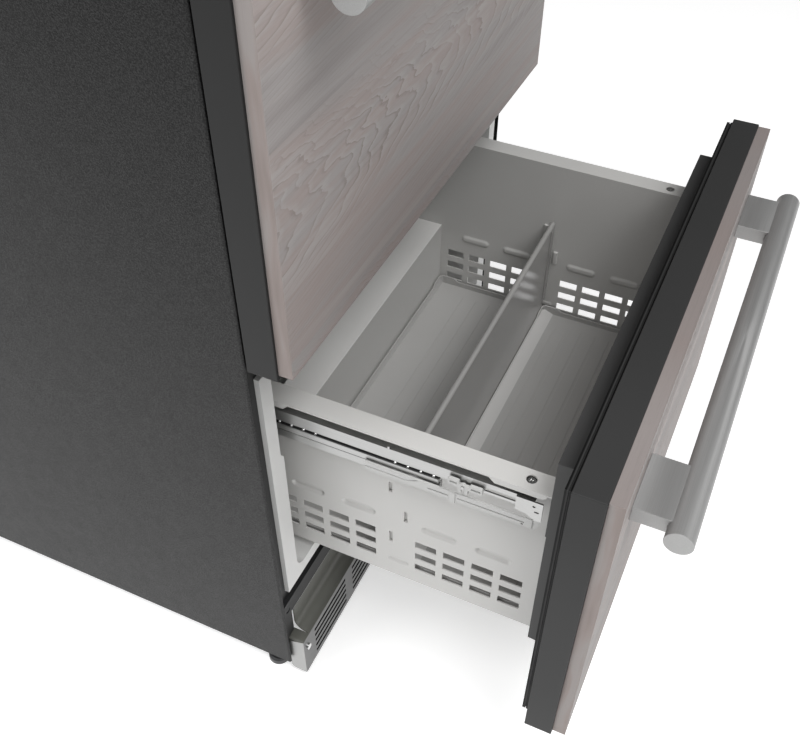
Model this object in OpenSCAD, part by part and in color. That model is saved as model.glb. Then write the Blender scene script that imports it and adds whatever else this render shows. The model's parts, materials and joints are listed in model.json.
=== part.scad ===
// Undercounter drawer refrigerator: a dark sheet-steel cabinet with two wood-faced drawers
// that run on ball-bearing telescopic slides. Millimetres.
// +X is to the right seen from the front, the front faces -Y, +Z is up. The origin lies on
// the floor, under the middle of the cabinet's front plane.

/* [Cabinet] */
// Outer width of the cabinet
cabinet_w = 606; // [596:1:620]
// Depth from the front plane to the back of the rear cover
cabinet_d = 560; // [550:1:600]
// Height of the side panels' lower edge above the floor
side_bottom = 28; // [24:1:34]
// Thickness of the wrapper's sheet steel
sheet_t = 1.2; // [0.8:0.1:1.5]
// Width of the wrapper's rolled front edge
hem_w = 2.7; // [2.2:0.1:3.2]
// Depth of the wrapper's rolled front edge
hem_d = 8; // [6:0.5:10]

/* [Doors] */
// Height of the lower door's bottom edge above the floor
door_bottom = 117; // [112:1:125]
// Height of each door
door_h = 381; // [370:1:390]
// Gap between the two doors
door_gap = 10; // [8:1:14]
// Thickness of the dark door body
door_t = 29; // [24:1:34]
// Gap between a closed door and the cabinet's front plane
door_to_cabinet = 1.7; // [1.2:0.1:2.5]
// Thickness of the wood panel
wood_t = 13.5; // [10:0.5:19]
// Inset of the wood panel from the door's sides
wood_side_inset = 2.75; // [1:0.25:5]
// Inset of the wood panel from the door's bottom edge
wood_bottom_inset = 5.5; // [2:0.5:8]
// Inset of the wood panel from the door's top edge
wood_top_inset = 1; // [0:0.5:3]
// Depth of the inner door liner
plug_t = 22.5; // [18:0.5:26]
// Inset of the inner door liner from the cabinet's sides
plug_side_inset = 46; // [44:0.5:52]
// Distance from the door's top edge down to the inner liner
plug_top_inset = 27; // [26:0.5:32]
// Distance from the door's top edge down to the inner liner's bottom
plug_bottom_drop = 298.6; // [290:0.2:306]

/* [Gasket] */
// Width of the gasket strip
gasket_w = 11.5; // [9:0.5:12]
// Thickness of the gasket strip
gasket_t = 6; // [5:0.1:6.4]
// Inset of the gasket from the door's sides
gasket_side_inset = 3.7; // [3.2:0.1:5]
// Inset of the gasket from the door's top edge
gasket_top_inset = 3.3; // [3.2:0.1:5]
// Height of the gasket above the door's bottom edge
gasket_bottom_inset = 25; // [20:1:28]

/* [Handle] */
// Diameter of the handle bar
bar_d = 25.4; // [20:0.2:30]
// Length of the handle bar
bar_l = 526.6; // [500:0.2:560]
// Height of the bar's axis below the door's top edge
bar_drop = 66.2; // [50:0.2:80]
// Distance from the wood's face to the bar's axis
bar_reach = 43.8; // [38:0.2:55]
// Width of each handle post
post_w = 65.8; // [40:0.2:70]
// Thickness of each handle post
post_t = 16.3; // [10:0.1:18]
// Distance between the centres of the two handle posts
post_spacing = 433; // [400:1:440]

/* [Drawer box] */
// Distance from the cabinet's side to the inside of the drawer's side wall
box_side_space = 70; // [69:0.5:73]
// Thickness of the drawer box's sheet
box_sheet = 1.5; // [1:0.1:1.6]
// Width of the flange along the top of each side wall
flange_w = 23; // [22:0.5:24]
// Height of the flange's turned-down lip
flange_lip = 7; // [5:0.5:9]
// Distance from the door's top edge down to the flange
flange_drop = 72.5; // [66:0.5:76]
// Distance from the door's top edge down to the side walls' bottom
wall_bottom_drop = 312; // [309:0.5:318]
// Length of the drawer box behind the inner door liner
box_l = 348.2; // [340:0.2:352]
// Distance from the box's front end to its rear wall
rear_wall_y = 306.5; // [300:0.5:312]
// Distance from the door's top edge down to the rear wall's top
rear_wall_drop = 203; // [195:1:215]
// Distance from the door's top edge down to the box's floor
floor_drop = 305; // [303:0.5:306]

/* [Perforations] */
// Length of each slot in the side walls
slot_l = 23.4; // [18:0.2:26]
// Height of each slot in the side walls
slot_h = 10.3; // [7:0.1:12]
// Corner radius of each slot
slot_r = 0.6; // [0.4:0.1:3]
// Distance between neighbouring slots along the wall
slot_pitch = 31.05; // [28:0.05:33]
// Distance between neighbouring rows of slots
slot_row_pitch = 19.3; // [15:0.1:20]

/* [Divider and mats] */
// Distance from the box's front end to the divider
divider_y = 153.5; // [151:0.5:156]
// Distance from the door's top edge down to the divider's rail
divider_drop = 150; // [140:1:165]
// Height of the mats' rims above the box's floor
mat_rim = 15; // [10:0.5:18]
// How much higher the mats' rims are at their corners
mat_rise = 4.5; // [2:0.5:6]
// Distance between the middles of neighbouring raised bands on the mats' floors
mat_band_pitch = 19.5; // [12:0.5:30]
// Height of the mats' floors above the box's floor
mat_floor = 8; // [6:0.5:9]

/* [Slides] */
// Distance from the drawer's side wall to its slide's centre
slide_space = 13.5; // [13:0.1:13.8]
// Distance from the door's top edge down to the slides' mid-height
slide_drop = 106; // [105:0.5:108]
// Diameter of the slide balls
ball_d = 3.5; // [3:0.1:3.5]
// Distance between neighbouring balls in a group
ball_pitch = 12.75; // [11:0.05:14]
// Distance between the first balls of the two groups
ball_group_pitch = 120.4; // [110:0.2:124]

/* [Toe grille] */
// Height of the grille plate's lower edge above the floor
grille_bottom = 8; // [4:1:14]
// Height of the grille plate's upper edge above the floor
grille_top = 74.2; // [70:0.2:78]
// Distance of the grille's face in front of the cabinet's front plane
grille_reach = 17; // [15:0.5:20]
// Length of each louvre slot
louvre_l = 78; // [60:1:82]
// Height of each louvre slot
louvre_h = 5; // [4:0.2:6]

/* [Legs] */
// Diameter of each foot
foot_d = 26; // [22:1:30]
// Diameter of each leg's screw
leg_screw_d = 10; // [8:1:12]
// Height of the foot's disc
foot_h = 9; // [6:0.5:12]

/* [Pose] */
// How far the lower drawer stands open
lower_open = 282.3; // [0:0.1:300]
// How far the upper drawer stands open
upper_open = 0; // [0:0.1:300]

/* [Hidden] */
$fn = 48;

// colours
charcoal = [0.22, 0.22, 0.22];
frame_black = [0.10, 0.10, 0.10];
door_grey = [0.19, 0.19, 0.19];
liner_white = [0.92, 0.92, 0.91];
satin_steel = [0.62, 0.62, 0.61];
box_grey = [0.80, 0.80, 0.78];
ash_wood = [0.66, 0.60, 0.57];
olive_grey = [0.36, 0.36, 0.32];

// small fits
play = 0.5;           // gap between pieces that slide past each other
screw_play = 0.1;     // gap round a screw, a shaft or a pin
bite = 0.1;           // how far joined forms run into each other
cut = 1;              // how far a cutting shape runs past the solid it cuts

// cabinet
half_w = cabinet_w / 2;
top_z = door_bottom + 2 * door_h + door_gap;
inside_x = half_w - sheet_t;
frame_x = half_w - hem_w;
rear_y = cabinet_d - sheet_t;
frame_d = 22;
strip_z = door_bottom + 0.7;         // lower edge of the face frame's base strip
post_x = half_w - 16;                // inner edge of the face frame's front posts
post_d = 16;

plug_w = cabinet_w - 2 * plug_side_inset;

// doors, in a drawer's own frame: Y as when closed, Z from the door's top edge
lower = 0;
upper = 1;
opened = [lower_open, upper_open];
body_back = -door_to_cabinet;
body_front = body_back - door_t;
wood_front = body_front - wood_t;
plug_back = body_back + plug_t;
plug_step = 1;                       // the lower part of the inner liner is this much shallower
plug_seam = -126.5;
gasket_x = half_w - gasket_side_inset;
gasket_top = -gasket_top_inset;
gasket_bottom = gasket_bottom_inset - door_h;
gasket_back = body_back + gasket_t;

// the channel in the face frame that takes the closed gasket
channel_d = gasket_back + 1;
channel_top = -hem_w;
channel_bottom = gasket_bottom - 1;
lip_gap = 1.2;                       // between the gasket and the liner's border
border_x = gasket_x - gasket_w - lip_gap;
border_top = gasket_top - gasket_w - lip_gap;
border_bottom = gasket_bottom + gasket_w + lip_gap;

// liners
liner_t = 2.5;
tub_x_top = half_w - 34.3;
tub_x = half_w - 39;
tub_top = -24;
tub_bottom = -327;
tub_top_r = 10;
tub_bottom_r = 16;
tub_step = -132;
tub_step_h = 6;

// drawer box
wall_x = half_w - box_side_space;
flange_x = wall_x + flange_w;
flange_z = -flange_drop;
wall_bottom = -wall_bottom_drop;
box_front = plug_back;
box_back = box_front + box_l;
rear_wall = box_front + rear_wall_y;
shelf_z = -rear_wall_drop;
floor_z = -floor_drop;
liner_d = [box_back + 15, rear_y - 58.8];
slot_groups = [box_front + 17.7, box_front + 179.5];
slot_top_z = -240.4;
slot_rows = 3;
slot_columns = 4;
oval_l = 37;
oval_h = 9;
oval_rise = 2;
oval_z = -216;
oval_centres = [50.8, 109, 198.2, 257];
low_oval_l = 23;
low_oval_h = 6.5;
low_oval_rise = 1.2;
low_oval_z = -285;
emboss_wall = 1.5;                   // the hollow behind a pressed oval is this much smaller all round
lance_wall = 0.7;                    // the same for the divider's guides
return_w = 9;                        // inward return of the side wall under the floor
screw_hole_r = 5;
shelf_skirt = 27;                    // turned-down rear edge of the shelf
front_wall_drop = 16;                // from the flange down to the front wall's top
rear_lip_y = box_front + 256.5;      // front end of the flange's rear lip
front_lip_y = box_front + 57;        // back end of its front lip
lip_foot = flange_z - flange_lip;
lip_slant = flange_lip - 2;
lip_nose = 3;
lip_front_gap = 4.5;                 // from the box's front end to the front lip
lance_w = 5.4;
lance_rise = 3;

// divider and mats
div_y = box_front + divider_y;
div_sheet = 1.6;
rail_r = 3.4;
divider_top = -divider_drop;
lance_gap = 5.6;                     // from the divider's middle to the lances beside it
lance_rows = [[1, -166.4, 16], [-1, -205.7, 18], [1, -246.6, 18.6]];
mat_t = 1.5;
mat_side_gap = 3;
mat_end_gap = 2;
mat_to_divider = div_sheet / 2 + play;
mat_corner = 4;
mat_rise_l = 21;                     // length of a raised corner along the rim
mat_rise_slant = 6;                  // length of the ramp at its end
mat_band_w = 16;
mat_band_rise = 0.8;
mat_band_end = 22;                   // from the mat's outline to the bands' ends
clip_w = 11;                         // the divider's end clips
clip_t = 4.8;
clip_lift = 30;                      // from the divider's bottom edge to the clips
clip_groove = 1.2;

// slides, in a drawer's own frame; the section is the same above and below slide_z
slide_z = -slide_drop;
slide_x = wall_x + box_sheet + slide_space;
band_h = 6.8;                        // the middle rail's band between its two heads
ball_gap = ball_d / 2 + 0.3;         // from the band's face, and from the lips, to the balls' centres
lip_z = band_h / 2 + 2 * ball_gap;   // lips of the channels, from slide_z
channel_h = 14;
channel_r = 7;                       // half the width of a channel
rail_t = 1.5;
head_r = 3.9;
neck_r = 0.9;
head_top = lip_z + channel_h - rail_t - 2;
head_bottom = lip_z - 1.5 + 3;
cage_t = 0.7;
cage_leg = channel_r - rail_t - 0.5;
cage_wing = channel_r + 1.2;
ball_x = channel_r - 0.6;
band_x = channel_r + 0.5;
balls_in_group = 4;
drawer_rail_front = box_front + 26.5;
drawer_rail_back = box_back - 4;
middle_front = box_front + 8.5;
middle_back = box_back;
middle_share = 0.66;                 // travel of the middle rails per travel of the drawer
outer_share = middle_share / 2;
inner_share = (1 + middle_share) / 2;
inner_cage_front = box_front + 60.8;
outer_cage_front = box_front + 101;
outer_group_pitch = ball_group_pitch - 20;
cabinet_rail_front = box_front + 1;
cabinet_rail_back = box_back + 6;
cabinet_tabs = [for (k = [0 : 2]) cabinet_rail_back - 253 + k * 114];
tab_l = 22;
box_tabs = [for (k = [0 : 2]) box_front + 34 + k * (box_l - 72) / 2];
screw_y = box_front + 22.3;
screw_x = slide_x - 4.2;
screw_head_r = 3.6;
screw_head_h = 1.9;
screw_shank_r = 2.5;
screw_seat = flange_z - 3.6;         // the screw's head stands on this, under the flange
seat_l = 20;
seat_w = 14;
tab_h = 8;
rail_pin_y = box_front + 154.2;      // small stop pin on the drawer rail's top
rail_pin_r = 1.6;
rail_pin_h = 2.4;
window_front = drawer_rail_front + 4.5;
window_z = [slide_z + 10.6, slide_z + 15.2];

// release levers and the front bracket
bracket_x = slide_x + channel_r + 1;
lever_x = slide_x + ball_x + ball_d / 2 + 0.4;
lever_t = 3;
lever_front = box_front + 60.4;
lever_back = box_front + 93.8;
lever_pin_y = box_front + 79.2;
lever_pin_z = slide_z + 10;
lever_pin_r = 1.6;

// the white strip beside each slide, fixed to the front bracket
strip_x = slide_x + channel_r + 2;
strip_t = 1.6;
strip_front = box_front + 18.9;
strip_back = box_front + 177;
strip_top = slide_z - 2.8;
strip_bottom = slide_z - 14;

// base
pan_z = side_bottom + 2;
pan_t = 1.5;
pan_front = 60;
arm_x = half_w - 31;
leg_x = half_w - 16.5;
leg_front_y = 27;
leg_rear_y = rear_y - 30;
leg_boss_r = 9;
leg_boss_h = 14;
leg_top = pan_z + 32;
foot_round = 3;

// toe grille and plate
grille_x = half_w - 6;
grille_t = 1.2;
grille_y = -grille_reach;
grille_return = 3;
grille_drop = 7.2;
louvre_rows = 5;
louvre_top = grille_top - 10.9;
louvre_pitch = 11.1;
louvre_outer = half_w - 32;
louvre_bridge = 18.4;
toe_x = half_w - 21;
toe_y = 0.8;
toe_top = door_bottom - 2;
toe_r = 16;
toe_screw_x = half_w - 15.1;
toe_screw_z = 55;
toe_screw_r = 2;
toe_head_r = 4;
toe_head_h = 2;

// machine compartment, behind the lower liner
machine_y = liner_d[lower] + liner_t + 46;
machine_top = 330;
machine_mid_y = (machine_y + rear_y) / 2;
fan_x = -half_w + 120;
fan_z = pan_z + 90;
fan_r = 0.38 * (rear_y - machine_y);
shaft_r = 3;
motor_r = 20;
comp_x = half_w - 110;
comp_r = 0.428 * (rear_y - machine_y);
comp_h = 150;
comp_round = 0.44 * comp_r;
comp_foot_x = comp_r + 8;
comp_foot_y = comp_r * 0.66;
cond_x = -half_w + 45;
cond_w = 52;
cond_h = 240;

// evaporator, behind the upper drawer
evap_cover_y = box_back + 23;
evap_space = liner_d[upper] - evap_cover_y;
evap_y = evap_cover_y + 0.3 * evap_space;
evap_d = 0.46 * evap_space;
evap_x = tub_x_top - 68.7;
evap_cover_bottom = top_z - 320;
evap_bottom = evap_cover_bottom + 20;
evap_h = 150;
evap_fan_z = top_z - 95;
evap_fan_r = 40;

function door_top(i) = door_bottom + door_h + i * (door_h + door_gap);

// a block given by its limits
module block(x0, x1, y0, y1, z0, z1) {
  translate([x0, y0, z0]) cube([x1 - x0, y1 - y0, z1 - z0]);
}

// an XZ outline extruded along Y
module along_y(y0, y1) {
  translate([0, y1, 0]) rotate([90, 0, 0]) linear_extrude(y1 - y0) children();
}

// a YZ outline extruded along X
module along_x(x0, x1) {
  translate([x0, 0, 0]) rotate([90, 0, 90]) linear_extrude(x1 - x0) children();
}

// a rod along X
module rod_x(x0, x1, y, z, r) {
  translate([x0, y, z]) rotate([0, 90, 0]) cylinder(h = x1 - x0, r = r);
}

// a rod along Y
module rod_y(y0, y1, x, z, r) {
  translate([x, y0, z]) rotate([-90, 0, 0]) cylinder(h = y1 - y0, r = r);
}

// a round-ended outline, l long and h high, about its centre
module capsule(l, h) {
  square([l - h, h], center = true);
  for (s = [-1, 1]) translate([s * (l - h) / 2, 0]) circle(d = h);
}

// a rectangle with round corners, about its centre
module round_rect(l, h, r) {
  square([l - 2 * r, h], center = true);
  square([l, h - 2 * r], center = true);
  for (sx = [-1, 1], sy = [-1, 1]) translate([sx * (l / 2 - r), sy * (h / 2 - r)]) circle(r = r);
}

module both_sides() {
  children();
  mirror([1, 0, 0]) children();
}

module at_compartment(i) {
  translate([0, 0, door_top(i)]) children();
}

// moves a piece out with the drawer, by its share of the drawer's travel
module at_drawer(i, share = 1) {
  translate([0, -opened[i] * share, door_top(i)]) children();
}

// ---------------------------------------------------------------- cabinet

// the side panel's section, with its rolled front edge
module side_section() {
  translate([-half_w, hem_w]) square([sheet_t, rear_y - hem_w]);
  translate([-half_w, hem_w]) square([hem_w, hem_d - hem_w]);
  intersection() {
    translate([-frame_x, hem_w]) circle(r = hem_w);
    translate([-half_w, 0]) square([hem_w, hem_w]);
  }
}

module cabinet_wrapper() {
  color(charcoal) {
    both_sides() translate([0, 0, side_bottom]) linear_extrude(top_z - side_bottom) side_section();
    block(-half_w, half_w, hem_w, rear_y, top_z - sheet_t, top_z);
    difference() {
      block(-half_w, half_w, 0, hem_d, top_z - hem_w, top_z);
      difference() {
        block(-half_w - cut, half_w + cut, -cut, hem_w, top_z - hem_w, top_z + cut);
        rod_x(-half_w - cut, half_w + cut, hem_w, top_z - hem_w, hem_w);
      }
    }
  }
}

module face_frame() {
  hole_x = tub_x_top + liner_t;
  crescent_r = 4;
  crescent_bite = 4.6;
  crescent_d = 4;
  color(frame_black) {
    difference() {
      block(-frame_x, frame_x, 0, frame_d, strip_z, top_z - hem_w);
      for (i = [lower, upper]) at_compartment(i) {
        block(-half_w, half_w, -cut, channel_d, channel_bottom, channel_top);
        // square opening, which the liner's border covers
        block(-hole_x, hole_x, -cut, frame_d + cut, tub_bottom - liner_t, tub_top + liner_t);
      }
      // crescent slots at the foot of the front posts
      for (s = [-1, 1]) translate([s * (post_x + 6), 0, strip_z + 9.8]) {
        along_y(-cut, crescent_d) difference() {
          circle(r = crescent_r);
          translate([0, crescent_r]) circle(r = crescent_bite);
        }
      }
    }
    both_sides() {
      block(-frame_x, -post_x, 0, post_d, grille_top + 6, strip_z);
      block(-frame_x, -post_x, grille_return + play, post_d, pan_z + pan_t, grille_top + 6);
    }
    // deck under the insulation
    block(-inside_x, inside_x, frame_d - 1, machine_y, strip_z, strip_z + sheet_t);
  }
}

// the tub's inside, grown by g all round
module tub_outline(g) {
  top_r = tub_top_r + g;
  bottom_r = tub_bottom_r + g;
  x1 = tub_x_top + g;
  x2 = tub_x + g;
  z1 = tub_top + g;
  z2 = tub_bottom - g;
  translate([-x1, tub_step]) square([2 * x1, z1 - top_r - tub_step]);
  translate([top_r - x1, tub_step]) square([2 * (x1 - top_r), z1 - tub_step]);
  for (s = [-1, 1]) translate([s * (x1 - top_r), z1 - top_r]) circle(r = top_r);
  translate([-x2, z2 + bottom_r]) square([2 * x2, tub_step - z2 - bottom_r]);
  translate([bottom_r - x2, z2]) square([2 * (x2 - bottom_r), tub_step - z2]);
  for (s = [-1, 1]) translate([s * (x2 - bottom_r), z2 + bottom_r]) circle(r = bottom_r);
  polygon([[-x1, tub_step], [-x2, tub_step - tub_step_h], [x2, tub_step - tub_step_h], [x1, tub_step]]);
}

module liner(i) {
  depth = liner_d[i];
  difference() {
    union() {
      block(-border_x, border_x, 0, channel_d, border_bottom, border_top);
      along_y(0, depth + liner_t) tub_outline(liner_t);
    }
    along_y(-cut, depth) tub_outline(0);
  }
}

module lower_liner() {
  color(liner_white) at_compartment(lower) liner(lower);
}

module upper_liner() {
  color(liner_white) at_compartment(upper) liner(upper);
}

module insulation() {
  color([0.87, 0.80, 0.58]) difference() {
    block(-inside_x, inside_x, frame_d, rear_y, strip_z + sheet_t, top_z - sheet_t);
    for (i = [lower, upper]) at_compartment(i) {
      along_y(0, liner_d[i] + liner_t) tub_outline(liner_t);
    }
    block(-half_w, half_w, machine_y, cabinet_d, 0, machine_top);
  }
}

module rear_cover() {
  vent_rows = 12;
  vent_pitch = 14;
  vent_column_pitch = 150;
  vent_l = 110;
  vent_h = 5;
  first_vent_z = side_bottom + 60;
  color(charcoal) difference() {
    block(-half_w, half_w, rear_y, cabinet_d, side_bottom, top_z);
    for (row = [0 : vent_rows - 1], column = [-1, 0, 1]) {
      translate([column * vent_column_pitch, 0, first_vent_z + row * vent_pitch])
        along_y(rear_y - cut, cabinet_d + cut) capsule(vent_l, vent_h);
    }
  }
}

module base_pan() {
  rear_rim = 20;
  side_rim = 30;
  tab_x0 = -post_x - 7;
  tab_x1 = -toe_x - 2;
  tab_y = grille_y + grille_t;
  color([0.55, 0.56, 0.57]) difference() {
    union() {
      block(-inside_x, inside_x, pan_front, rear_y, pan_z, pan_z + pan_t);
      block(-inside_x, inside_x, rear_y - pan_t, rear_y, pan_z, pan_z + rear_rim);
      both_sides() {
        block(-inside_x, -arm_x, hem_d, pan_front, pan_z, pan_z + pan_t);
        block(-inside_x, -inside_x + pan_t, hem_d, rear_y, pan_z, pan_z + side_rim);
        // tabs that carry the toe grille
        block(tab_x0, tab_x1, tab_y, hem_d, pan_z, pan_z + pan_t);
        block(tab_x0, tab_x1, tab_y, tab_y + pan_t, pan_z, grille_top - 8);
        for (y = [leg_front_y, leg_rear_y]) {
          translate([-leg_x, y, pan_z]) cylinder(h = leg_boss_h, r = leg_boss_r);
        }
      }
    }
    both_sides() {
      for (y = [leg_front_y, leg_rear_y]) {
        translate([-leg_x, y, pan_z - cut]) {
          cylinder(h = leg_boss_h + 2 * cut, r = leg_screw_d / 2 + screw_play);
        }
      }
      rod_y(grille_y, grille_y + 10, -toe_screw_x, toe_screw_z, toe_screw_r + screw_play);
    }
  }
}

module leg(x, y) {
  color([0.13, 0.13, 0.13]) translate([x, y, 0]) {
    rotate_extrude() {
      square([foot_d / 2, foot_h - foot_round]);
      square([foot_d / 2 - foot_round, foot_h]);
      translate([foot_d / 2 - foot_round, foot_h - foot_round]) circle(r = foot_round);
      square([leg_screw_d / 2, leg_top]);
    }
  }
}

module front_left_leg() leg(-leg_x, leg_front_y);
module front_right_leg() leg(leg_x, leg_front_y);
module rear_left_leg() leg(-leg_x, leg_rear_y);
module rear_right_leg() leg(leg_x, leg_rear_y);

// ---------------------------------------------------------------- toe grille

module toe_grille() {
  inner_l = louvre_outer - 2 * louvre_l - louvre_bridge - 1.5 * louvre_bridge;
  color(satin_steel) difference() {
    union() {
      block(-grille_x, grille_x, grille_y, grille_y + grille_t, grille_bottom, grille_top);
      both_sides() along_x(-grille_x, grille_t - grille_x) polygon([
        [grille_y, grille_bottom],
        [grille_return - 4, grille_bottom],
        [grille_return, grille_bottom + 4],
        [grille_return, grille_top - grille_drop],
        [grille_y, grille_top]]);
    }
    for (row = [0 : louvre_rows - 1]) {
      translate([0, 0, louvre_top - row * louvre_pitch]) both_sides() {
        louvre(-louvre_outer, louvre_l);
        louvre(-louvre_outer + louvre_l + louvre_bridge, louvre_l);
        louvre(-louvre_bridge / 2 - inner_l, inner_l);
      }
    }
    both_sides() rod_y(grille_y - cut, grille_y + 10, -toe_screw_x, toe_screw_z, toe_screw_r + screw_play);
  }
}

module louvre(x0, l) {
  block(x0, x0 + l, grille_y - cut, grille_y + grille_t + cut, -louvre_h / 2, louvre_h / 2);
}

module toe_plate() {
  front = grille_y + grille_t;
  centre_y = toe_y - toe_r;
  centre_z = grille_top + toe_r;
  color(olive_grey) along_x(-toe_x, toe_x) {
    translate([toe_y, centre_z]) square([grille_t, toe_top - centre_z]);
    intersection() {
      translate([centre_y, centre_z]) difference() {
        circle(r = toe_r + grille_t);
        circle(r = toe_r);
      }
      translate([centre_y, centre_z - toe_r - grille_t]) square([toe_r + grille_t, toe_r + grille_t]);
    }
    translate([front, grille_top - grille_t]) square([centre_y - front, grille_t]);
  }
}

module toe_screws() {
  color([0.75, 0.75, 0.74]) both_sides() {
    rod_y(grille_y - toe_head_h, grille_y, -toe_screw_x, toe_screw_z, toe_head_r);
    rod_y(grille_y - toe_head_h, grille_y + 6, -toe_screw_x, toe_screw_z, toe_screw_r);
  }
}

// ---------------------------------------------------------------- machine parts

module compressor() {
  z0 = pan_z + pan_t;
  grommet_h = 8;
  grommet_r = 8;
  plate_t = 1.5;
  plate_ears = [12, 8];
  color([0.09, 0.09, 0.10]) translate([comp_x, machine_mid_y, 0]) {
    translate([0, 0, z0 + grommet_h]) rotate_extrude() {
      square([comp_r, comp_h - comp_round]);
      square([comp_r - comp_round, comp_h]);
      translate([comp_r - comp_round, comp_h - comp_round]) circle(r = comp_round);
    }
    for (sx = [-1, 1], sy = [-1, 1]) {
      translate([sx * comp_foot_x, sy * comp_foot_y, z0]) cylinder(h = grommet_h, r = grommet_r);
    }
    block(-comp_foot_x - plate_ears[0], comp_foot_x + plate_ears[0], -comp_foot_y - plate_ears[1],
      comp_foot_y + plate_ears[1], z0 + grommet_h, z0 + grommet_h + plate_t);
    // suction and discharge stubs
    translate([0, 0, z0 + 60]) rotate([0, -90, 0]) cylinder(h = comp_r + 18, r = 4);
    translate([0, 0, z0 + 85]) rotate([0, -90, 0]) cylinder(h = comp_r + 14, r = 3);
  }
}

module condenser() {
  fins = 18;
  fin_t = 1;
  tube_r = 4;
  tube_rows = 6;
  row_pitch = 40;
  first_row = 20;
  tube_x = cond_x + 14;
  tube_pitch = 24;
  y0 = machine_y + 8;
  y1 = rear_y - 8;
  fin_pitch = (y1 - y0 - fin_t) / (fins - 1);
  z0 = pan_z + pan_t;
  color([0.30, 0.30, 0.31]) {
    for (k = [0 : fins - 1]) {
      block(cond_x, cond_x + cond_w, y0 + k * fin_pitch, y0 + k * fin_pitch + fin_t, z0, z0 + cond_h);
    }
    for (row = [0 : tube_rows - 1]) {
      z = z0 + first_row + row * row_pitch;
      for (x = [tube_x, tube_x + tube_pitch]) rod_y(y0 - 5, y1 + 5, x, z, tube_r);
      // tube bends at both ends
      for (y = [y0 - 5, y1 + 5 - 2 * tube_r]) {
        block(tube_x, tube_x + tube_pitch, y, y + 2 * tube_r, z - tube_r, z + tube_r);
      }
    }
  }
}

// a five-bladed fan about +X, its hub's back face at x = 0
module fan(r, blades, depth) {
  hub_r = 14;
  blade_foot = 12;
  blade_t = 2;
  blade_w = depth * 1.1;
  blade_angle = 35;
  nose_t = 3;
  difference() {
    union() {
      rotate([0, 90, 0]) cylinder(h = depth, r = hub_r);
      for (k = [0 : blades - 1]) rotate([k * 360 / blades, 0, 0]) {
        translate([depth / 2, 0, blade_foot]) rotate([0, 0, blade_angle]) {
          translate([-blade_w / 2, -blade_t / 2, 0]) cube([blade_w, blade_t, r - blade_foot]);
        }
      }
    }
    rotate([0, 90, 0]) translate([0, 0, -cut]) cylinder(h = depth - nose_t + cut, r = shaft_r + screw_play);
  }
}

module condenser_fan() {
  color([0.16, 0.16, 0.17]) translate([fan_x, machine_mid_y, fan_z]) mirror([1, 0, 0]) fan(fan_r, 5, 18);
}

module condenser_fan_motor() {
  plate_x = fan_x + 8;
  plate_t = 1.5;
  plate_h = 200;
  foot_w = 20;
  bar_t = 2.5;
  bar_h = 10;
  motor_l = 34;
  z0 = pan_z + pan_t;
  y0 = machine_y + 4;
  y1 = rear_y - 4;
  color([0.50, 0.51, 0.52]) {
    difference() {
      block(plate_x, plate_x + plate_t, y0, y1, z0, z0 + plate_h);
      rod_x(plate_x - cut, plate_x + plate_t + cut, machine_mid_y, fan_z, fan_r * 1.08);
    }
    block(plate_x, plate_x + foot_w, y0, y1, z0, z0 + plate_t);
    block(plate_x, plate_x + bar_t, y0, y1, fan_z - bar_h / 2, fan_z + bar_h / 2);
    rod_x(plate_x, plate_x + motor_l, machine_mid_y, fan_z, motor_r);
    rod_x(fan_x - 13, plate_x + 1, machine_mid_y, fan_z, shaft_r);
  }
}

module evaporator() {
  fins = 25;
  fin_t = 1;
  fin_pitch = (2 * evap_x - fin_t) / (fins - 1);
  tube_r = 0.08 * evap_d;
  tube_end = evap_x + 8;
  first_tube_y = evap_y + 0.26 * evap_d;
  tube_pitch = 0.48 * evap_d;
  tube_rows = 5;
  row_pitch = evap_h / tube_rows;
  color([0.78, 0.79, 0.80]) {
    for (k = [0 : fins - 1]) {
      x = k * fin_pitch - evap_x;
      deep = (k == 0 || k == fins - 1) ? liner_d[upper] : evap_y + evap_d;
      block(x, x + fin_t, evap_y, deep, evap_bottom, evap_bottom + evap_h);
    }
    for (row = [0 : tube_rows - 1], column = [0, 1]) {
      z = evap_bottom + (row + 0.5) * row_pitch;
      rod_x(-tube_end, tube_end, first_tube_y + column * tube_pitch, z, tube_r);
    }
  }
}

module evaporator_fan() {
  color([0.85, 0.85, 0.84]) translate([0, evap_cover_y + 26, evap_fan_z]) {
    rotate([0, 0, 90]) mirror([1, 0, 0]) fan(evap_fan_r, 5, 14);
  }
}

module evaporator_cover() {
  x = tub_x_top - 16;
  z0 = evap_cover_bottom;
  z1 = top_z + tub_top - 14;
  t = 2.5;
  motor_y = evap_cover_y + 32;
  motor_l = 12;
  arm_t = 3;
  arm_h = 8;
  arm_x0 = -evap_fan_r - 10;
  color(liner_white) {
    difference() {
      block(-x, x, evap_cover_y, liner_d[upper], z0, z1);
      block(-x + t, x - t, evap_cover_y + t, cabinet_d, z0 + t, z1 - t);
      rod_y(evap_cover_y - cut, evap_cover_y + 4, 0, evap_fan_z, evap_fan_r + 3);
      for (k = [-3 : 3], row = [0, 1, 2]) translate([k * 60, 0, z0 + 24 + row * 12]) {
        along_y(evap_cover_y - cut, evap_cover_y + 4) capsule(44, 5);
      }
    }
    // motor and its two arms, behind the fan
    rod_y(motor_y, motor_y + motor_l, 0, evap_fan_z, 16);
    rod_y(evap_cover_y + 16, motor_y + 1, 0, evap_fan_z, shaft_r);
    both_sides() translate([0, 0, evap_fan_z - arm_h / 2]) {
      block(arm_x0, -10, motor_y + 4, motor_y + 4 + arm_t, 0, arm_h);
      block(arm_x0, arm_x0 + arm_t, evap_cover_y + 1, motor_y + 4 + arm_t, 0, arm_h);
    }
  }
}

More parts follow.
